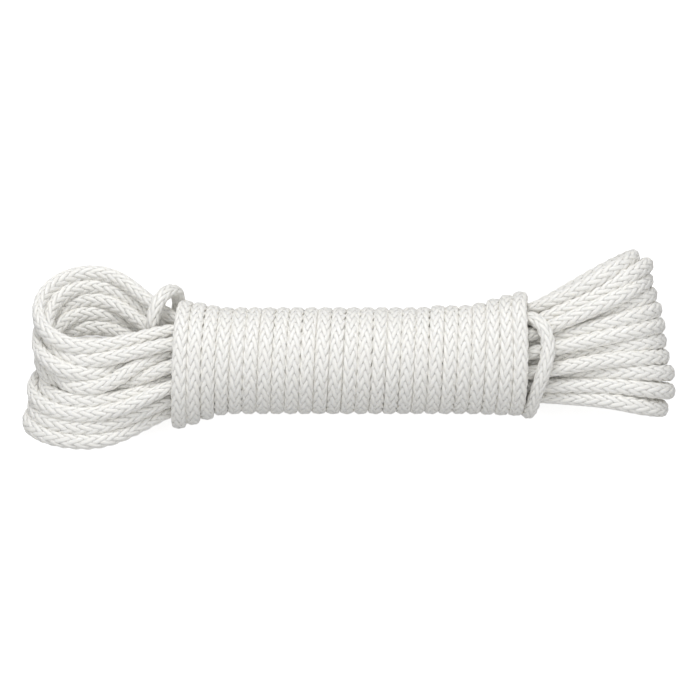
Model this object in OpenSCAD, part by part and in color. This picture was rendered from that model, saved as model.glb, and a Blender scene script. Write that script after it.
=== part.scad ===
// Dock line made up as a hank: eleven long turns of one braided rope, bound round the
// waist by its own working end, which is tucked back under the last wraps.

/* [Rope] */
// Diameter of the rope, in millimetres
rope_d = 9.5; // [6:0.5:14]

/* [Hank] */
// Half the length of the straight middle of the bundle, in rope diameters
straight_half = 8.5; // [7:0.5:9]
// Distance from the middle to the left end of the wrapping, in rope diameters
left_half = 12.4; // [12:0.1:13]
// Distance from the middle to the right end of the wrapping, in rope diameters
right_half = 12.4; // [12:0.1:13]
// Radius of the folds at the right, in rope diameters
fold_r = 2.9; // [2.4:0.1:3]
// Distance from the middle to where the eye of loops turns back, in rope diameters
eye_start = 19; // [18:0.5:20]
// Height of the top runs of the eye above the waist axis, in rope diameters
eye_top = 1.95; // [1.5:0.05:2.3]

/* [Wrapping] */
// Number of wraps round the waist
wrap_turns = 25; // [24:1:25]
// Distance from one wrap to the next, in rope diameters
wrap_pitch = 1.028; // [1.02:0.002:1.05]
// Radius of the wraps' centreline, in rope diameters
wrap_r = 3.42; // [3.3:0.02:3.6]

/* [Resolution] */
// Sides of each rope section
rope_sides = 8; // [8:1:12]
// Sections in each wrap
wrap_steps = 12; // [10:1:16]
// Sections in each bend or fold
bend_steps = 9; // [7:1:12]
// Sections in each free run between the bundle and a bend
run_steps = 4; // [3:1:6]

/* [Hidden] */

// Every place below is in rope diameters from the middle of the waist axis.
axis_height = wrap_r + 0.5;
table_z = 0.5 - axis_height;
centre_shift = [0.138, 0.94];
rope_white = [0.93, 0.93, 0.91];
seal_white = [0.86, 0.85, 0.8];

// Where each run crosses the waist, as [y, z]; a low run's place is the high one's turned half round
high_slots = [[2.2, 0.5], [1.65, 1.37], [1.05, 2.25], [1.1, 0.5], [0.55, 1.37], [0, 2.25],
              [-0.55, 1.37], [-1.05, 2.25], [-1.1, 0.5], [-1.65, 1.37], [-2.2, 0.5]];
turns = len(high_slots);
core_slot = [0, 0];

// How much the bundle widens and shifts sideways towards each end of the wrapping
left_flare = 0.48;
left_drift = -0.28;
right_flare = 0.33;
right_drift = 0.38;
height_flare = 0.08;

// How much further out the wraps pass at the [left, right] end, behind and in front
back_flare = [0.55, 0.85];
front_flare = [0.95, 0.12];

// The eye: where its loops lie at the top and on the table, how far left they reach,
// and how much lower the inner ones run
eye_high_y = [0.75, -0.15, -1.1, -2.05, -2.5, -2.95, -3.9, -4.3, -4.75, -5.6];
eye_low_y = [6.4, 5.45, 4.5, 3.55, 2.6, 1, 0.1, -0.8, -1.7, -2.6];
eye_reach = [3.6, 3.2, 3.5, 3.1, 3.6, 3.2, 3.7, 3.4, 3.9, 4.4];
eye_drop = [0, 0, 0, 0, 0.85, 0, 0, 0.85, 0, 0];

// The folds: where their tips lie, how far each top run leans sideways,
// and the heading of the first and of each next one
fold_tip_x = [21, 22, 22, 22.3, 22.65, 22.9, 23, 23.2, 23.6, 23.65, 23.2];
fold_tip_y = [7.6, 7, 5.9, 4.85, 3.75, 2.6, 1.45, 0.3, -0.9, -2.15, -3.2];
fold_lean = [-0.35, -0.1, 0, 0, 0, 0, 0, 0, 0, -0.15, -0.55];
first_heading = 34;
heading_step = -4.6;

// The standing end, and the free stretches at the two ends of the wrapping
standing_end_x = -11;
seal_len = 0.35;
seal_width = 0.9;
lead_in_points = [[-8.5, 0, 0], [-10.8, 0.1, 0], [-12.4, 0.4, -0.05], [-13.6, 1.05, 0.05],
                  [-14.1, 2, 0.4], [-14.15, 3, 0.9], [-13.75, 4.25, 0.95],
                  [-13.05, 5.05, 0.1], [-12.5, 4.9, -1.15], [-12.4, 3.9, -2.05]];
locking_points = [[13.2, -1.9, -2.95], [13.25, -3.35, -1.6], [13.3, -3.7, -0.1], [13.5, -3.2, 1.4],
                  [13.85, -1.9, 2.75], [14.3, -0.3, 3.35], [14.5, 1, 3.3],
                  [14.2, 2.3, 3], [13.4, 3.1, 2.5]];
tail_points = [[12.3, 3.35, 1.95], [11, 3.15, 1.5], [9.5, 2.9, 1.4],
               [7.8, 2.65, 1.35], [5.9, 2.5, 1.3]];

along = [1, 0, 0];
first_wrap_x = -left_half + 0.05;
first_wrap_end = -0.3;
last_wrap_end = wrap_turns - 0.25;
left_wraps_end = 8.75;
middle_wraps_end = 16.75;

function unit(v) = v / norm(v);
function flip(list) = [for (i = [len(list) - 1:-1:0]) list[i]];
function after_first(list) = [for (i = [1:len(list) - 1]) list[i]];

// Point at t on the cubic that leaves p along u and comes to q along v
function cubic(p, u, q, v, t) =
    let (s = norm(q - p))
    (2*t^3 - 3*t^2 + 1)*p + (t^3 - 2*t^2 + t)*s*u + (3*t^2 - 2*t^3)*q + (t^3 - t^2)*s*v;

// n points along that cubic, without its last
function reach(p, u, q, v, n) = [for (i = [0:n - 1]) cubic(p, u, q, v, i/n)];

// Headings through a list of points: each is parallel to the line between its neighbours
function headings(points) = [
    for (i = [0:len(points) - 1])
        unit(points[min(i + 1, len(points) - 1)] - points[max(i - 1, 0)])
];

// A smooth curve through points, with n steps from each to the next
function smooth(points, n) =
    let (h = headings(points))
    concat([for (i = [0:len(points) - 2]) each reach(points[i], h[i], points[i + 1], h[i + 1], n)],
           [points[len(points) - 1]]);

function low_slot(turn) = turn == turns - 1 ? core_slot : -high_slots[turns - 1 - turn];

function bundle_point(x, slot, flare, drift) =
    [x, drift + slot[0]*(1 + flare), slot[1]*(1 + height_flare)];
function straight_point(x, slot) = [x, slot[0], slot[1]];

// From the straight middle of the bundle out to a far point; side is -1 at the left, 1 at the right
function run_out(slot, side, far, far_heading) =
    let (mid = straight_point(side*straight_half, slot),
         gate = side < 0 ? bundle_point(-left_half, slot, left_flare, left_drift)
                         : bundle_point(right_half, slot, right_flare, right_drift),
         through = unit(far - mid))
    concat([straight_point(0, slot)],
           reach(mid, side*along, gate, through, run_steps - 1),
           reach(gate, through, far, far_heading, run_steps));

// The eye's loop i is half an ellipse from the table (angle 0) up to its top run (angle 180)
function eye_point(i, angle) =
    let (top = eye_top - eye_drop[i],
         mid_y = (eye_high_y[i] + eye_low_y[i])/2,
         half_y = (eye_high_y[i] - eye_low_y[i])/2)
    [-eye_start - eye_reach[i]*sin(angle),
     mid_y - half_y*cos(angle),
     (top + table_z)/2 - (top - table_z)/2*cos(angle)];

// Fold i is a half circle standing on the table, from its top (angle 0) down (angle 180)
function fold_heading(i) =
    let (angle = first_heading + heading_step*i)
    [cos(angle), sin(angle), 0];
function fold_point(i, angle) =
    let (out = fold_heading(i), side = [-out[1], out[0], 0])
    [fold_tip_x[i], fold_tip_y[i], table_z + fold_r]
    + fold_r*((sin(angle) - 1)*out + [0, 0, cos(angle)]) + fold_lean[i]*(1 + cos(angle))/2*side;

function bend(i) = [for (k = [0:bend_steps]) eye_point(i, 180*k/bend_steps)];
function fold(i) = [for (k = [0:bend_steps]) fold_point(i, 180*k/bend_steps)];

// One turn: back from the middle, round the eye, along the top, round the fold and back
function left_part(turn) =
    let (low_far = eye_point(turn - 1, 0), high_far = eye_point(turn - 1, 180))
    concat(run_out(low_slot(turn - 1), -1, low_far, -along),
           bend(turn - 1),
           flip(run_out(high_slots[turn], -1, high_far, -along)));
function standing_part() =
    [bundle_point(standing_end_x, high_slots[0], left_flare/2, left_drift/2),
     straight_point(-straight_half, high_slots[0])];
function right_part(turn) =
    let (heading = fold_heading(turn))
    concat(after_first(run_out(high_slots[turn], 1, fold_point(turn, 0), heading)),
           fold(turn),
           flip(run_out(low_slot(turn), 1, fold_point(turn, 180), heading)));
function turn_path(turn) = concat(turn == 0 ? standing_part() : left_part(turn), right_part(turn));

// Wraps: t counts turns from the front; the section is wider at both ends of the waist
function smooth_step(t) = let (s = min(max(t, 0), 1)) s*s*(3 - 2*s);
function flare_at(x) = smooth_step((abs(x) - straight_half)/(left_half - straight_half));
function reach_at(x, flares) = wrap_r + (x < 0 ? flares[0] : flares[1])*flare_at(x);
function wrap_point(t) =
    let (x = first_wrap_x + wrap_pitch*t, side = -cos(360*t))
    [x, side*reach_at(x, side > 0 ? back_flare : front_flare), wrap_r*sin(360*t)];
function wrap_path(from, to) =
    let (n = ceil((to - from)*wrap_steps))
    [for (i = [0:n]) wrap_point(from + (to - from)*i/n)];

lead_in_path = concat([straight_point(0, core_slot)],
                      smooth(concat(lead_in_points, [wrap_point(first_wrap_end)]), 3));
locking_path = smooth(concat([wrap_point(last_wrap_end)], locking_points, [tail_points[0]]), 2);
tail_path = smooth(tail_points, 2);

function to_frame(p) = rope_d*(p + [-centre_shift[0], -centre_shift[1], axis_height]);

function tangents(path) = [
    for (i = [0:len(path) - 1])
        unit(path[min(i + 1, len(path) - 1)] - path[max(i - 1, 0)])
];

// A normal carried along the path without twist
function without(v, t) = unit(v - (v*t)*t);
function carried(t) =
    let (start = abs(t[0][1]) < abs(t[0][2]) ? [0, 1, 0] : [0, 0, 1], last = len(t) - 1)
    [for (i = 0, n = without(start, t[0]);
          i <= last;
          i = i + 1, n = without(n, t[min(i, last)]))
        n];

module rope(path, d = rope_d) {
    points = [for (p = path) to_frame(p)];
    t = tangents(points);
    n = carried(t);
    last = len(points) - 1;
    rings = [
        for (i = [0:last], k = [0:rope_sides - 1])
            let (a = 360*k/rope_sides)
            points[i] + d/2*(cos(a)*n[i] + sin(a)*cross(t[i], n[i]))
    ];
    walls = [
        for (i = [0:last - 1], k = [0:rope_sides - 1])
            let (a = i*rope_sides + k, b = i*rope_sides + (k + 1) % rope_sides)
            each [[a, a + rope_sides, b], [b, a + rope_sides, b + rope_sides]]
    ];
    start_cap = [for (k = [0:rope_sides - 1]) k];
    end_cap = [for (k = [rope_sides - 1:-1:0]) last*rope_sides + k];
    polyhedron(rings, concat([start_cap], walls, [end_cap]));
}

module hank_turn(number) {
    color(rope_white) rope(turn_path(number - 1));
}

module lead_in_turn() {
    color(rope_white) rope(lead_in_path);
}

module wraps(from, to) {
    color(rope_white) rope(wrap_path(from, to));
}

module locking_turn() {
    color(rope_white) rope(locking_path);
}

module tucked_tail() {
    color(rope_white) rope(tail_path);
}

// A melted end: a short button set against the last section of the path, facing away from it
module end_seal(end, before) {
    out = unit(end - before);
    color(seal_white)
        translate(to_frame(end))
            rotate([0, acos(out[2]), atan2(out[1], out[0])])
                cylinder(h = seal_len*rope_d, d = seal_width*rope_d, $fn = 32);
}

module standing_end_seal() {
    path = turn_path(0);
    end_seal(path[0], path[1]);
}

module working_end_seal() {
    last = len(tail_path) - 1;
    end_seal(tail_path[last], tail_path[last - 1]);
}

hank_turn(1);  // hank_turn_01
hank_turn(2);  // hank_turn_02
hank_turn(3);  // hank_turn_03
hank_turn(4);  // hank_turn_04
hank_turn(5);  // hank_turn_05
hank_turn(6);  // hank_turn_06
hank_turn(7);  // hank_turn_07
hank_turn(8);  // hank_turn_08
hank_turn(9);  // hank_turn_09
hank_turn(10);  // hank_turn_10
hank_turn(11);  // hank_turn_11
lead_in_turn();
wraps(first_wrap_end, left_wraps_end);  // wraps_left
wraps(left_wraps_end, middle_wraps_end);  // wraps_middle
wraps(middle_wraps_end, last_wrap_end);  // wraps_right
locking_turn();
tucked_tail();
standing_end_seal();
working_end_seal();
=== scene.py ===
import math

import bpy
import numpy as np
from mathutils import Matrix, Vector


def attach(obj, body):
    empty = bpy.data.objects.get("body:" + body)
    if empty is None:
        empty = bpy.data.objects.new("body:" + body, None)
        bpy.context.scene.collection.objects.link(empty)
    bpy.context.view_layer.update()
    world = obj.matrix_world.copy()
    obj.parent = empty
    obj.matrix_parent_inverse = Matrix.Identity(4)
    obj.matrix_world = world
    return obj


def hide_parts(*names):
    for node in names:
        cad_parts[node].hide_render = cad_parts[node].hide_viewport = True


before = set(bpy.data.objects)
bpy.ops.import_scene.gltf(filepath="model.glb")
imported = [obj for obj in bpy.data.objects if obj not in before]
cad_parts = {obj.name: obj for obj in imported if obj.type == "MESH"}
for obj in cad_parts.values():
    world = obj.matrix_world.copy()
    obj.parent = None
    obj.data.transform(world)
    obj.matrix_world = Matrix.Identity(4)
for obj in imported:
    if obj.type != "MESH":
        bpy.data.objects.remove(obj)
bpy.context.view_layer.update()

# Every place on the route is in rope diameters from the middle of the waist axis, as in the part's source.
rope = {
    "diameter": 0.0095,  # metres
    "middleShift": (0.138, 0.94),  # from the middle of the waist to the middle of the hank's box
    "axisHeight": 3.92,
    "spacing": 0.4,  # between the points that settle
    "fineSteps": 2,  # finer steps between two of those points
    "curveDetail": 10,  # points in each diameter of a curve, before they are spaced evenly
}
tableZ = 0.5 - rope["axisHeight"]  # the height of a rope's middle where it lies on the floor
tiny = 1e-9


camera = {
    "lens": 150,
    "height": 2.02,
    "aim": (-0.0006, -0.0002, 0.037),  # it looks straight down at this place
}


def addCamera():
    data = bpy.data.cameras.new("camera")
    data.lens = camera["lens"]
    eye = bpy.data.objects.new("camera", data)
    bpy.context.collection.objects.link(eye)
    eye.location = Vector(camera["aim"]) + Vector((0, 0, camera["height"]))
    bpy.context.scene.camera = eye


hank = {
    "straightHalf": 8.5,
    "leftHalf": 12.4,
    "rightHalf": 12.4,
    "foldRadius": 2.9,
    "eyeStart": 19.0,
    "eyeTop": 1.95,
    # where each high run crosses the waist, as (y, z); a low run's place is a high one's turned half round
    "slots": [(2.2, 0.5), (1.65, 1.37), (1.05, 2.25), (1.1, 0.5), (0.55, 1.37), (0, 2.25),
              (-0.55, 1.37), (-1.05, 2.25), (-1.1, 0.5), (-1.65, 1.37), (-2.2, 0.5)],
    "coreSlot": (0.0, 0.0),
    "leftFlare": 0.48,
    "leftDrift": -0.28,
    "rightFlare": 0.33,
    "rightDrift": 0.38,
    "heightFlare": 0.08,
    "bendPoints": 60,
    "eyeHighY": [0.75, -0.15, -1.1, -2.05, -2.5, -2.95, -3.9, -4.3, -4.75, -5.6],
    "eyeLowY": [6.4, 5.45, 4.5, 3.55, 2.6, 1, 0.1, -0.8, -1.7, -2.6],
    "eyeReach": [3.6, 3.2, 3.5, 3.1, 3.6, 3.2, 3.7, 3.4, 3.9, 4.4],
    "eyeDrop": [0, 0, 0, 0, 0.85, 0, 0, 0.85, 0, 0],
    "foldTipX": [21, 22, 22, 22.3, 22.65, 22.9, 23, 23.2, 23.6, 23.65, 23.2],
    "foldTipY": [7.6, 7, 5.9, 4.85, 3.75, 2.6, 1.45, 0.3, -0.9, -2.15, -3.2],
    "firstHeading": 34,
    "headingStep": -4.6,
    "foldLean": [-0.35, -0.1, 0, 0, 0, 0, 0, 0, 0, -0.15, -0.55],  # sideways, of each top run
    "standingEndX": -11.0,
}
wrapping = {
    "pitch": 1.028,
    "radius": 3.42,
    "firstX": -12.35,
    "start": -0.3,  # this and the three ends are counted in turns from the first wrap's front
    "leftEnd": 8.75,
    "middleEnd": 16.75,
    "end": 24.75,
    "pointsPerTurn": 240,
    "backFlare": (0.55, 0.85),  # how much further out the wraps pass at the left and at the right
    "frontFlare": (0.95, 0.12),
}
ties = {
    "leadIn": [(-8.5, 0, 0), (-10.8, 0.1, 0), (-12.4, 0.4, -0.05), (-13.6, 1.05, 0.05),
               (-14.1, 2, 0.4), (-14.15, 3, 0.9), (-13.75, 4.25, 0.95),
               (-13.05, 5.05, 0.1), (-12.5, 4.9, -1.15), (-12.4, 3.9, -2.05)],
    "locking": [(13.2, -1.9, -2.95), (13.25, -3.35, -1.6), (13.3, -3.7, -0.1), (13.5, -3.2, 1.4),
                (13.85, -1.9, 2.75), (14.3, -0.3, 3.35), (14.5, 1, 3.3),
                (14.2, 2.3, 3), (13.4, 3.1, 2.5)],
    "tail": [(12.3, 3.35, 1.95), (11, 3.15, 1.5), (9.5, 2.9, 1.4),
             (7.8, 2.65, 1.35), (5.9, 2.5, 1.3)],
}

alongX = np.array((1.0, 0.0, 0.0))
alongY = np.array((0.0, 1.0, 0.0))
turnCount = len(hank["slots"])


def unit(vectors):
    return vectors / np.maximum(np.linalg.norm(vectors, axis=-1, keepdims=True), tiny)


# Goes smoothly from 0 to 1 as t does: three squares of t less two cubes of it
def easing(t):
    t = np.clip(t, 0, 1)
    return t * t * (3 - 2 * t)


# The Hermite cubic that leaves p along u and comes to q along v: each end and each heading, which is as
# long as the gap, times its own cubic weight in t
def cubic(p, u, q, v):
    p, q = np.asarray(p, float), np.asarray(q, float)
    size = np.linalg.norm(q - p)
    t = np.linspace(0, 1, int(size * rope["curveDetail"]) + 3)[:, None]
    ends = (2 * t**3 - 3 * t**2 + 1) * p + (3 * t**2 - 2 * t**3) * q
    return ends + size * ((t**3 - 2 * t**2 + t) * u + (t**3 - t**2) * v)


# A smooth curve through points, parallel at each to the line between its neighbours
def smooth(points):
    points = np.array(points, float)
    ahead = np.vstack((points[1:], points[-1:]))
    behind = np.vstack((points[:1], points[:-1]))
    heading = unit(ahead - behind)
    return np.vstack([cubic(points[i], heading[i], points[i + 1], heading[i + 1])
                      for i in range(len(points) - 1)])


# A low run's slot is the high slot as far from the other end of the list, turned half round; the last low
# run takes the middle of the bundle
def lowSlot(turn):
    if turn == turnCount - 1:
        return hank["coreSlot"]
    y, z = hank["slots"][turnCount - 1 - turn]
    return (-y, -z)


# A slot's place at x, where the bundle opens: its y grows by the flare and moves by the drift, and its z
# grows by the height flare
def bundlePoint(x, slot, flare, drift):
    return np.array((x, drift + slot[0] * (1 + flare), slot[1] * (1 + hank["heightFlare"])))


# From the middle of the waist out to a far point, by three cubics: to the edge of the straight part, on to
# the gate at the waist's end, and out to the far point. Side is -1 at the left and 1 at the right.
def runOut(slot, side, far, farHeading):
    middle = np.array((0.0, *slot))
    edge = np.array((side * hank["straightHalf"], *slot))
    if side < 0:
        gate = bundlePoint(-hank["leftHalf"], slot, hank["leftFlare"], hank["leftDrift"])
    else:
        gate = bundlePoint(hank["rightHalf"], slot, hank["rightFlare"], hank["rightDrift"])
    through = unit(far - edge)
    return np.vstack((cubic(middle, side * alongX, edge, side * alongX),
                      cubic(edge, side * alongX, gate, through),
                      cubic(gate, through, far, farHeading)))


# Half an ellipse from the table (angle 0) up to the top run (angle pi)
def eyeLoop(loop, angles):
    top = hank["eyeTop"] - hank["eyeDrop"][loop]
    highY, lowY = hank["eyeHighY"][loop], hank["eyeLowY"][loop]
    rise = -np.cos(angles)
    return np.stack((-hank["eyeStart"] - hank["eyeReach"][loop] * np.sin(angles),
                     (highY + lowY) / 2 + (highY - lowY) / 2 * rise,
                     (top + tableZ) / 2 + (top - tableZ) / 2 * rise), axis=-1)


# The way that a fold points, which turns by one even step from fold to fold
def foldHeading(turn):
    angle = math.radians(hank["firstHeading"] + hank["headingStep"] * turn)
    return np.array((math.cos(angle), math.sin(angle), 0.0))


# Half a circle standing on the table, from its top (angle 0) down (angle pi); its top leans sideways
def foldCurve(turn, angles):
    radius, out = hank["foldRadius"], foldHeading(turn)
    side, up = np.array((-out[1], out[0], 0)), np.array((0, 0, 1.0))
    tip = np.array((hank["foldTipX"][turn], hank["foldTipY"][turn], tableZ + radius))
    outwards, upwards = (np.sin(angles) - 1)[:, None], np.cos(angles)[:, None]
    lean = hank["foldLean"][turn] * (1 + upwards) / 2
    return tip + radius * (outwards * out + upwards * up) + lean * side


bendAngles = np.linspace(0, math.pi, hank["bendPoints"])


# A loop of the eye, with the low run of the turn before that leads to it and the high run that leaves it
def leftPart(turn):
    loop = eyeLoop(turn - 1, bendAngles)
    return np.vstack((runOut(lowSlot(turn - 1), -1, loop[0], -alongX), loop,
                      runOut(hank["slots"][turn], -1, loop[-1], -alongX)[::-1]))


# The first turn starts inside the waist, part of the way to its left end, and has no loop in the eye
def standingPart():
    slot = hank["slots"][0]
    start = bundlePoint(hank["standingEndX"], slot, hank["leftFlare"] / 2, hank["leftDrift"] / 2)
    edge = np.array((-hank["straightHalf"], *slot))
    return np.vstack((cubic(start, unit(edge - start), edge, alongX),
                      cubic(edge, alongX, (0, *slot), alongX)))


# A fold of the fan, with the high run that leads to it and the low run that leaves it
def rightPart(turn):
    fold, heading = foldCurve(turn, bendAngles), foldHeading(turn)
    return np.vstack((runOut(hank["slots"][turn], 1, fold[0], heading), fold,
                      runOut(lowSlot(turn), 1, fold[-1], heading)[::-1]))


def turnPath(turn):
    return np.vstack((leftPart(turn) if turn else standingPart(), rightPart(turn)))


# A helix round the waist: x grows by the pitch in each turn, y is the cosine and z the sine. Its front and
# back reach further out at both ends of the waist, by a flare that eases in from the straight part.
def wrapPath(start, end):
    t = np.linspace(start, end, int((end - start) * wrapping["pointsPerTurn"]) + 2)
    x = wrapping["firstX"] + wrapping["pitch"] * t
    flare = easing((abs(x) - hank["straightHalf"]) / (hank["leftHalf"] - hank["straightHalf"]))
    back = wrapping["radius"] + np.where(x < 0, *wrapping["backFlare"]) * flare
    front = wrapping["radius"] + np.where(x < 0, *wrapping["frontFlare"]) * flare
    side = -np.cos(2 * math.pi * t)
    return np.stack((x, side * np.where(side > 0, back, front),
                     wrapping["radius"] * np.sin(2 * math.pi * t)), axis=-1)


# Points at one even spacing along a curve, with both its ends
def evenly(curve, spacing):
    step = np.linalg.norm(np.diff(curve, axis=0), axis=1)
    keep = np.concatenate(([True], step > tiny))
    curve, step = curve[keep], step[step > tiny]
    along = np.concatenate(([0], np.cumsum(step)))
    wanted = np.linspace(0, along[-1], max(2, round(along[-1] / spacing) + 1))
    return np.stack([np.interp(wanted, along, curve[:, k]) for k in range(3)], axis=-1)


# Each stretch of the rope, in order, with the CAD node that it stands for
def stretches():
    found = [(f"rope_turn_{turn + 1:02d}", f"hank_turn_{turn + 1:02d}", turnPath(turn))
             for turn in range(turnCount)]
    left = wrapPath(wrapping["start"], wrapping["leftEnd"])
    middle = wrapPath(wrapping["leftEnd"], wrapping["middleEnd"])
    right = wrapPath(wrapping["middleEnd"], wrapping["end"])
    leadIn = smooth([(0, *hank["coreSlot"]), *ties["leadIn"], left[0]])
    locking = smooth([right[-1], *ties["locking"], ties["tail"][0]])
    return found + [("rope_lead_in", "lead_in_turn", leadIn),
                    ("rope_wraps_left", "wraps_left", left),
                    ("rope_wraps_middle", "wraps_middle", middle),
                    ("rope_wraps_right", "wraps_right", right),
                    ("rope_locking_turn", "locking_turn", locking),
                    ("rope_tail", "tucked_tail", smooth(ties["tail"]))]


settling = {
    "rounds": 120,
    "lookEvery": 10,  # rounds between two searches for neighbours
    "gap": 1.0,  # two ropes' middles are pushed this far apart
    "push": 0.45,  # the share of an overlap that each of two points moves
    "spread": 0.25,  # how much of a push each point passes on to the next
    "hold": 0.004,  # the share of the way back to its first place that a point goes in each round
    "sameStrand": 2.2,  # closer than this along the rope, two points never push each other
    "reach": 1.5,  # how far the search looks
    "block": 400,  # points searched at once
}


# Every two points nearer than reach that are more than skip points apart along the rope
def closePairs(points, reach, skip):
    found = []
    for start in range(0, len(points), settling["block"]):
        rows = points[start:start + settling["block"]]
        apart = ((rows[:, None, :] - points[None]) ** 2).sum(axis=-1)
        i, j = np.nonzero(apart < reach * reach)
        i = i + start
        keep = j - i > skip
        found.append(np.stack((i[keep], j[keep])))
    return np.concatenate(found, axis=1)


# Pushes the route's points apart until the ropes only touch, and keeps them above the floor
def settle(first):
    points = first.copy()
    skip = int(settling["sameStrand"] / rope["spacing"])
    for lap in range(settling["rounds"]):
        if lap % settling["lookEvery"] == 0:
            i, j = closePairs(points, settling["reach"], skip)
        line = points[j] - points[i]
        apart = np.maximum(np.linalg.norm(line, axis=1), tiny)
        over = np.maximum(settling["gap"] - apart, 0)
        move = line * (settling["push"] * over / apart)[:, None]
        total = np.zeros_like(points)
        for axis in range(3):
            total[:, axis] = (np.bincount(j, move[:, axis], len(points))
                              - np.bincount(i, move[:, axis], len(points)))
        points = points + total
        shift = (points - first) * (1 - settling["hold"])
        shift[1:-1] += settling["spread"] * (shift[2:] + shift[:-2] - 2 * shift[1:-1])
        points = first + shift
        points[:, 2] = np.maximum(points[:, 2], tableZ)
    print(f"settled: {len(points)} points, deepest overlap {over.max():.3f} rope diameters")
    return points


braid = {
    "pitch": 7.2,  # rope diameters along the rope for one turn of a strand
    "strandsEachWay": 8,
    "radius": 0.385,
    "weave": 0.05,  # how far a strand swings in and out of that radius
    "halfWidth": 0.185,
    "halfThickness": 0.1,
    "coreRadius": 0.34,
    "coreSides": 10,
    "coreStep": 3,  # the core has one station for this many of a strand's
    "drift": [(0.35, 0.13, 0.0), (0.25, 0.047, 1.0)],  # slow twists: size, angle per diameter, first angle
    "mapGap": 10,  # between two strands on the map
}
# How the rope gives where it lies tight: sideways growth, growth the other way, and how square it gets
pressed = {
    "ends": {"start": 12.5, "ramp": 8.0, "width": 0.16, "thickness": -0.06, "square": 0.2},
    "wraps": {"ramp": 3.0, "width": 0.08, "thickness": -0.02, "square": 0.7},
    "corner": 3.2,  # the power of the rounded square: 2 is a circle
}
# The section of one strand, across and outwards: a flat back and three points on its crown
strandSection = np.array([(-1, -0.35), (-0.6, 0.62), (0, 1), (0.6, 0.62), (1, -0.35)])


# Points between the settled ones: on the Catmull-Rom cubic, which passes from one point to the next parallel
# at each to the line between its neighbours
def finer(points, steps):
    before = np.vstack((2 * points[0] - points[1], points[:-2]))
    after = np.vstack((points[2:], 2 * points[-1] - points[-2]))
    a, b = points[:-1, None, :], points[1:, None, :]
    before, after = before[:, None, :], after[:, None, :]
    t = (np.arange(steps) / steps)[None, :, None]
    curve = 0.5 * (2 * a + (b - before) * t + (2 * before - 5 * a + 4 * b - after) * t**2
                   + (3 * a - before - 3 * b + after) * t**3)
    return np.vstack((curve.reshape(-1, 3), points[-1:]))


# A normal carried along the path: each is the last one less its share along the new heading
def carriedNormals(headings):
    normals = np.empty_like(headings)
    normal = np.array((0.0, 1.0, 0.0))
    for i, heading in enumerate(headings):
        normal = normal - normal.dot(heading) * heading
        normal = normal / math.sqrt(normal.dot(normal))
        normals[i] = normal
    return normals


# All strands at once, as (strand, station, point of the section). A strand's angle grows with the length, by
# one turn in each pitch, to the left or to the right; its distance out is the radius and a cosine of that
# angle, so that it floats over two and passes under two of the others, and the floats stand in columns.
def strandGrids(middle, normal, side, along):
    count = braid["strandsEachWay"]
    hand = np.repeat((1.0, -1.0), count)[:, None]
    start = np.tile(2 * math.pi * np.arange(count) / count, 2)[:, None]
    twist = sum(size * np.sin(rate * along + offset) for size, rate, offset in braid["drift"])
    angle = hand * (2 * math.pi * along / braid["pitch"]) + start
    swing = hand * np.cos(angle * count / 2 - math.pi / 4)
    angle = angle + twist
    distance = braid["radius"] + braid["weave"] * swing
    out = np.cos(angle)[..., None] * normal + np.sin(angle)[..., None] * side
    line = middle + distance[..., None] * out
    heading = unit(np.gradient(line, axis=1))
    across = unit(np.cross(heading, out))
    out = np.cross(across, heading)
    size = strandSection * (braid["halfWidth"], braid["halfThickness"])
    return (line[:, :, None, :] + size[:, 0, None] * across[:, :, None, :]
            + size[:, 1, None] * out[:, :, None, :])


# A round section goes to a rounded square, whose radius is the sum of the cosine and the sine, each to the
# corner power, to minus one over that power. It is then spread sideways; amount is 0 to 1 along the rope.
def press(grids, middle, heading, axis, amount, how):
    sideways = unit(axis - (heading @ axis)[:, None] * heading)[:, None, :]
    amount = amount[:, None, None]
    offset = grids - middle[:, None, :]
    across = (offset * sideways).sum(axis=-1, keepdims=True)
    size = np.linalg.norm(offset, axis=-1, keepdims=True)
    part = np.clip(abs(across) / size, 0, 1)
    other = np.sqrt(1 - part * part)
    power = pressed["corner"]
    square = (part**power + other**power) ** (-1 / power) - 1
    offset = offset * (1 + amount * how["square"] * square)
    spread = (offset * sideways).sum(axis=-1, keepdims=True) * sideways
    return middle[:, None, :] + offset + amount * (how["width"] * spread
                                                   + how["thickness"] * (offset - spread))


# A plain tube inside the strands, which closes the small gaps between them: a circle at each station
def coreGrid(middle, normal, side):
    angle = 2 * math.pi * np.arange(braid["coreSides"]) / braid["coreSides"]
    ring = np.cos(angle)[:, None] * normal[:, None, :] + np.sin(angle)[:, None] * side[:, None, :]
    return middle[:, None, :] + braid["coreRadius"] * ring


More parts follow.
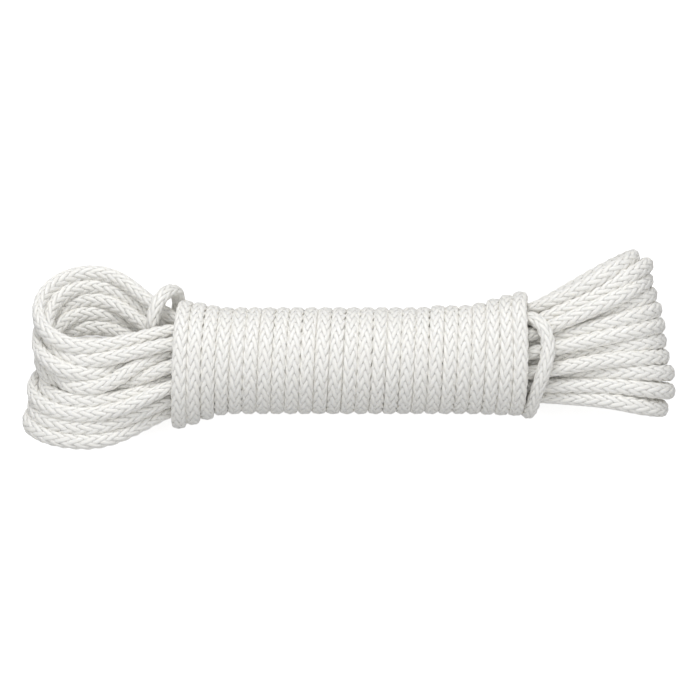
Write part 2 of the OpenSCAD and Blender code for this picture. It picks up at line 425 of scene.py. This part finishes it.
# Closed tubes in one mesh. A grid is (stations, points round the section); the map's u goes round and its v
# is the length along the rope.
def tubeMesh(name, grids):
    corners, starts, uvs, places = [], [], [], []
    first, used = 0, 0
    for number, (grid, along) in enumerate(grids):
        stations, around = grid.shape[:2]
        i, j = np.meshgrid(np.arange(stations - 1), np.arange(around), indexing="ij")
        i, j = i.ravel(), j.ravel()
        nextJ = (j + 1) % around
        quads = np.stack((i * around + j, i * around + nextJ,
                          (i + 1) * around + nextJ, (i + 1) * around + j), axis=1)
        u = np.stack((j, j + 1, j + 1, j), axis=1) / around
        v = np.stack((along[i], along[i], along[i + 1], along[i + 1]), axis=1) + braid["mapGap"] * number
        ends = np.arange(around)
        caps = np.concatenate((ends[::-1], (stations - 1) * around + ends))
        corners.append(np.concatenate((quads.ravel(), caps)) + first)
        sizes = np.concatenate((np.full(len(quads), 4), (around, around)))
        starts.append(used + np.concatenate(([0], np.cumsum(sizes)[:-1])))
        used += sizes.sum()
        flat = np.full((2 * around, 2), (0.5, 0.0))
        uvs.append(np.concatenate((np.stack((u.ravel(), v.ravel()), axis=1), flat)))
        places.append(grid.reshape(-1, 3))
        first += stations * around
    corners, starts = np.concatenate(corners), np.concatenate(starts)
    places, uvs = np.concatenate(places), np.concatenate(uvs)
    mesh = bpy.data.meshes.new(name)
    mesh.vertices.add(len(places))
    mesh.vertices.foreach_set("co", places.astype(np.float32).ravel())
    mesh.loops.add(len(corners))
    mesh.loops.foreach_set("vertex_index", corners.astype(np.int32))
    mesh.polygons.add(len(starts))
    mesh.polygons.foreach_set("loop_start", starts.astype(np.int32))
    mesh.update(calc_edges=True)
    mesh.uv_layers.new(name="strandMap").data.foreach_set("uv", uvs.astype(np.float32).ravel())
    mesh.polygons.foreach_set("use_smooth", np.ones(len(starts), bool))
    mesh.validate()
    piece = bpy.data.objects.new(name, mesh)
    bpy.context.collection.objects.link(piece)
    return piece


# From rope diameters round the middle of the waist to metres in the frame
def toFrame(points):
    x, y = rope["middleShift"]
    return (points + (-x, -y, rope["axisHeight"])) * rope["diameter"]


# The whole rope is settled and braided in one, and then cut into its stretches
def addRope(material):
    parts = [(name, node, evenly(curve, rope["spacing"])) for name, node, curve in stretches()]
    bounds = np.cumsum([0] + [len(points) - 1 for _, _, points in parts])
    whole = np.vstack([points[:-1] for _, _, points in parts] + [parts[-1][2][-1:]])
    whole = settle(whole)
    fine = finer(whole, rope["fineSteps"])
    heading = unit(np.gradient(fine, axis=0))
    normal = carriedNormals(heading)
    side = np.cross(heading, normal)
    along = np.concatenate(([0], np.cumsum(np.linalg.norm(np.diff(fine, axis=0), axis=1))))
    ends, wraps = pressed["ends"], pressed["wraps"]
    atEnds = easing((abs(fine[:, 0]) - ends["start"]) / ends["ramp"])
    names = [name for name, _, _ in parts]
    first = along[bounds[names.index("rope_wraps_left")] * rope["fineSteps"]]
    last = along[bounds[names.index("rope_locking_turn")] * rope["fineSteps"]]
    inWraps = easing((along - first) / wraps["ramp"]) * easing((last - along) / wraps["ramp"])
    strands = strandGrids(fine, normal, side, along)
    strands = press(strands, fine, heading, alongY, atEnds, ends)
    strands = press(strands, fine, heading, alongX, inWraps, wraps)
    core = coreGrid(fine, normal, side)
    for (name, node, _), start, end in zip(parts, bounds[:-1], bounds[1:]):
        low, high = start * rope["fineSteps"], end * rope["fineSteps"] + 1
        part = slice(low, high)
        grids = [(toFrame(strand[part]), along[part]) for strand in strands]
        coreStations = np.unique(np.append(np.arange(low, high, braid["coreStep"]), high - 1))
        grids.append((toFrame(core[coreStations]), along[coreStations]))
        piece = tubeMesh(name, grids)
        piece.data.materials.append(material)
        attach(piece, "root")
        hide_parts(node)
        path = toFrame(whole[start:end + 1])
        length = (along[high - 1] - along[low]) * rope["diameter"]
    print(f"rope: {along[-1] * rope['diameter']:.2f} m in {len(parts)} stretches")
    return fine, heading


endSeal = {
    "radius": 0.47,
    "length": 0.38,
    "roundness": 3.2,  # a higher power keeps its full radius further out
    "shoulder": 0.8,
    "rings": 14,
    "sides": 40,
    "ripples": 5,
    "ripple": 0.02,
}


# A melted button: its radius is the root of one less a power of the way out, with a slow ripple round it,
# and its height is another power of the way
def addSeal(name, node, place, out, material):
    t = np.linspace(0, 1, endSeal["rings"])[:, None]
    angle = 2 * math.pi * np.arange(endSeal["sides"])[None, :] / endSeal["sides"]
    ripple = 1 + endSeal["ripple"] * np.sin(endSeal["ripples"] * angle)
    radius = endSeal["radius"] * np.sqrt(np.maximum(1 - t ** endSeal["roundness"], 0)) * ripple
    rise = endSeal["length"] * t ** endSeal["shoulder"] + 0 * angle
    normal = unit(np.cross(out, (0.0, 0.0, 1.0)))
    side = np.cross(out, normal)
    ring = np.cos(angle)[..., None] * normal + np.sin(angle)[..., None] * side
    grid = place + radius[..., None] * ring + rise[..., None] * out
    piece = tubeMesh(name, [(toFrame(grid), t.ravel())])
    piece.data.materials.append(material)
    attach(piece, "root")
    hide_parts(node)


# A socket that takes part in plain arithmetic
class Value:
    def __init__(self, shader, socket):
        self.shader, self.socket = shader, socket

    def __add__(self, other):
        return self.shader.maths("ADD", self, other)

    def __sub__(self, other):
        return self.shader.maths("SUBTRACT", self, other)

    def __rsub__(self, other):
        return self.shader.maths("SUBTRACT", other, self)

    def __mul__(self, other):
        return self.shader.maths("MULTIPLY", self, other)

    __radd__ = __add__
    __rmul__ = __mul__


# The nodes of a material or a world: node() adds any kind of node, and maths() a Math node
class Shader:
    def __init__(self, owner):
        owner.use_nodes = True
        self.owner = owner
        self.tree = owner.node_tree

    def fill(self, node, sockets):
        for name, value in sockets.items():
            socket = next(s for s in node.inputs if name in (s.identifier, s.name))
            if isinstance(value, Value):
                self.tree.links.new(value.socket, socket)
            else:
                socket.default_value = value

    def node(self, kind, output, settings=None, sockets=None):
        node = self.tree.nodes.new(kind)
        for name, value in (settings or {}).items():
            setattr(node, name, value)
        self.fill(node, sockets or {})
        return Value(self, next(s for s in node.outputs if output in (s.identifier, s.name)))

    def maths(self, operation, a, b):
        return self.node("ShaderNodeMath", "Value", {"operation": operation}, {"Value": a, "Value_001": b})

    def mix(self, amount, a, b):
        return self.node("ShaderNodeMix", "Result_Color", {"data_type": "RGBA"},
                         {"Factor_Float": amount, "A_Color": a, "B_Color": b})

    def finish(self, last, sockets):
        self.fill(self.tree.nodes[last], sockets)
        return self.owner


ropeLook = {
    "bright": (0.93, 0.918, 0.88, 1),
    "dull": (0.87, 0.855, 0.81, 1),
    "roughness": 0.36,
    "roughnessSpread": 0.3,
    "filamentsAcross": 26,
    "filamentLength": 0.9,
    "filamentDetail": 2.0,
    "filamentGrain": 0.6,
    "patchScale": 60.0,
    "patchDetail": 2.0,
    "patchShare": 0.5,  # of the tone; the filaments have the rest
    "bump": 0.35,
    "bumpDepth": 0.0003,
    "glow": 0.3,
    "glowDepth": 0.0015,
    "glowColour": (1.0, 0.95, 0.85),
    "sheen": 0.1,
}


# Fine filaments along each strand, in its tone, its gloss and its bump, and slow patches of tone over them
def ropeMaterial():
    shader = Shader(bpy.data.materials.new("white_filament"))
    place = shader.node("ShaderNodeUVMap", "UV", {"uv_map": "strandMap"})
    stretched = shader.node("ShaderNodeVectorMath", "Vector", {"operation": "MULTIPLY"}, {
        "Vector": place, "Vector_001": (ropeLook["filamentsAcross"], ropeLook["filamentLength"], 1)})
    filament = shader.node("ShaderNodeTexNoise", "Fac", {"noise_dimensions": "2D"}, {
        "Vector": stretched, "Scale": 1.0, "Detail": ropeLook["filamentDetail"],
        "Roughness": ropeLook["filamentGrain"]})
    objectPlace = shader.node("ShaderNodeTexCoord", "Object")
    patches = shader.node("ShaderNodeTexNoise", "Fac", {}, {
        "Vector": objectPlace, "Scale": ropeLook["patchScale"], "Detail": ropeLook["patchDetail"]})
    tone = filament * (1 - ropeLook["patchShare"]) + patches * ropeLook["patchShare"]
    colour = shader.mix(tone, ropeLook["dull"], ropeLook["bright"])
    normal = shader.node("ShaderNodeBump", "Normal", {}, {
        "Height": filament, "Strength": ropeLook["bump"], "Distance": ropeLook["bumpDepth"]})
    return shader.finish("Principled BSDF", {
        "Base Color": colour,
        "Roughness": ropeLook["roughness"] + (filament - 0.5) * ropeLook["roughnessSpread"],
        "Normal": normal,
        "Subsurface Weight": ropeLook["glow"],
        "Subsurface Radius": ropeLook["glowColour"],
        "Subsurface Scale": ropeLook["glowDepth"],
        "Sheen Weight": ropeLook["sheen"],
    })


sealLook = {
    "scorched": (0.78, 0.74, 0.62, 1),
    "clear": (0.9, 0.89, 0.84, 1),
    "roughness": 0.18,
    "roughnessSpread": 0.25,
    "patchScale": 900.0,
    "patchDetail": 3.0,
    "bump": 0.3,
    "bumpDepth": 0.0003,
}


# Smooth melted plastic with small scorched patches
def sealMaterial():
    shader = Shader(bpy.data.materials.new("melted_end"))
    place = shader.node("ShaderNodeTexCoord", "Object")
    patches = shader.node("ShaderNodeTexNoise", "Fac", {}, {
        "Vector": place, "Scale": sealLook["patchScale"], "Detail": sealLook["patchDetail"]})
    normal = shader.node("ShaderNodeBump", "Normal", {}, {
        "Height": patches, "Strength": sealLook["bump"], "Distance": sealLook["bumpDepth"]})
    return shader.finish("Principled BSDF", {
        "Base Color": shader.mix(patches, sealLook["scorched"], sealLook["clear"]),
        "Roughness": sealLook["roughness"] + patches * sealLook["roughnessSpread"],
        "Normal": normal,
    })


studio = {
    "white": (1, 1, 1, 1),
    "floor": (0.95, 0.95, 0.95, 1),
    "floorHalf": 4,
    "floorRoughness": 0.9,
    "floorGlow": 0.45,
    "seen": 1.0,  # how bright the room looks behind the hank
    "overhead": 0.87,  # how strongly the room lights it from above and from below
    "underneath": 0.36,
    "lowest": -0.5,  # the room grows brighter between these two heights, where its top is 1
    "highest": 0.7,
    "key": 6.0,
    "keyPlace": (-0.15, 1.0, 0.75),
    "keySize": 0.5,
}


def addFloor():
    mesh = bpy.data.meshes.new("floor")
    half = studio["floorHalf"]
    corners = [(-half, -half, 0), (half, -half, 0), (half, half, 0), (-half, half, 0)]
    mesh.from_pydata(corners, [], [(0, 1, 2, 3)])
    floor = bpy.data.objects.new("floor", mesh)
    bpy.context.collection.objects.link(floor)
    shader = Shader(bpy.data.materials.new("pale_floor"))
    floor.data.materials.append(shader.finish("Principled BSDF", {
        "Base Color": studio["floor"],
        "Roughness": studio["floorRoughness"],
        "Emission Color": studio["white"],
        "Emission Strength": studio["floorGlow"],
    }))
    floor.visible_diffuse = False
    floor.visible_glossy = False


def addKeyLight():
    data = bpy.data.lights.new("key", "AREA")
    data.shape = "DISK"
    data.size = studio["keySize"]
    data.energy = studio["key"]
    light = bpy.data.objects.new("key", data)
    bpy.context.collection.objects.link(light)
    light.location = studio["keyPlace"]
    light.rotation_euler = (-Vector(studio["keyPlace"])).to_track_quat("-Z", "Y").to_euler()


# A soft room: bright overhead and dim underneath, and plain white where it is seen behind the hank
def addRoom():
    shader = Shader(bpy.data.worlds.new("studio"))
    place = shader.node("ShaderNodeTexCoord", "Generated")
    height = shader.node("ShaderNodeSeparateXYZ", "Z", {}, {"Vector": place})
    strength = shader.node("ShaderNodeMapRange", "Result", {"interpolation_type": "SMOOTHSTEP"}, {
        "Value": height, "From Min": studio["lowest"], "From Max": studio["highest"],
        "To Min": studio["underneath"], "To Max": studio["overhead"]})
    lit = shader.node("ShaderNodeBackground", "Background", {}, {
        "Color": studio["white"], "Strength": strength})
    seen = shader.node("ShaderNodeBackground", "Background", {}, {
        "Color": studio["white"], "Strength": studio["seen"]})
    cameraRay = shader.node("ShaderNodeLightPath", "Is Camera Ray")
    room = shader.node("ShaderNodeMixShader", "Shader", {}, {
        "Fac": cameraRay, "Shader": lit, "Shader_001": seen})
    bpy.context.scene.world = shader.finish("World Output", {"Surface": room})
    bpy.context.scene.view_settings.view_transform = "Standard"


addCamera()
print("camera in place")
route, heading = addRope(ropeMaterial())
melted = sealMaterial()
addSeal("rope_standing_end", "standing_end_seal", route[0], -heading[0], melted)
addSeal("rope_working_end", "working_end_seal", route[-1], heading[-1], melted)
print("ends sealed")
addFloor()
addKeyLight()
addRoom()
print("floor and light in place")
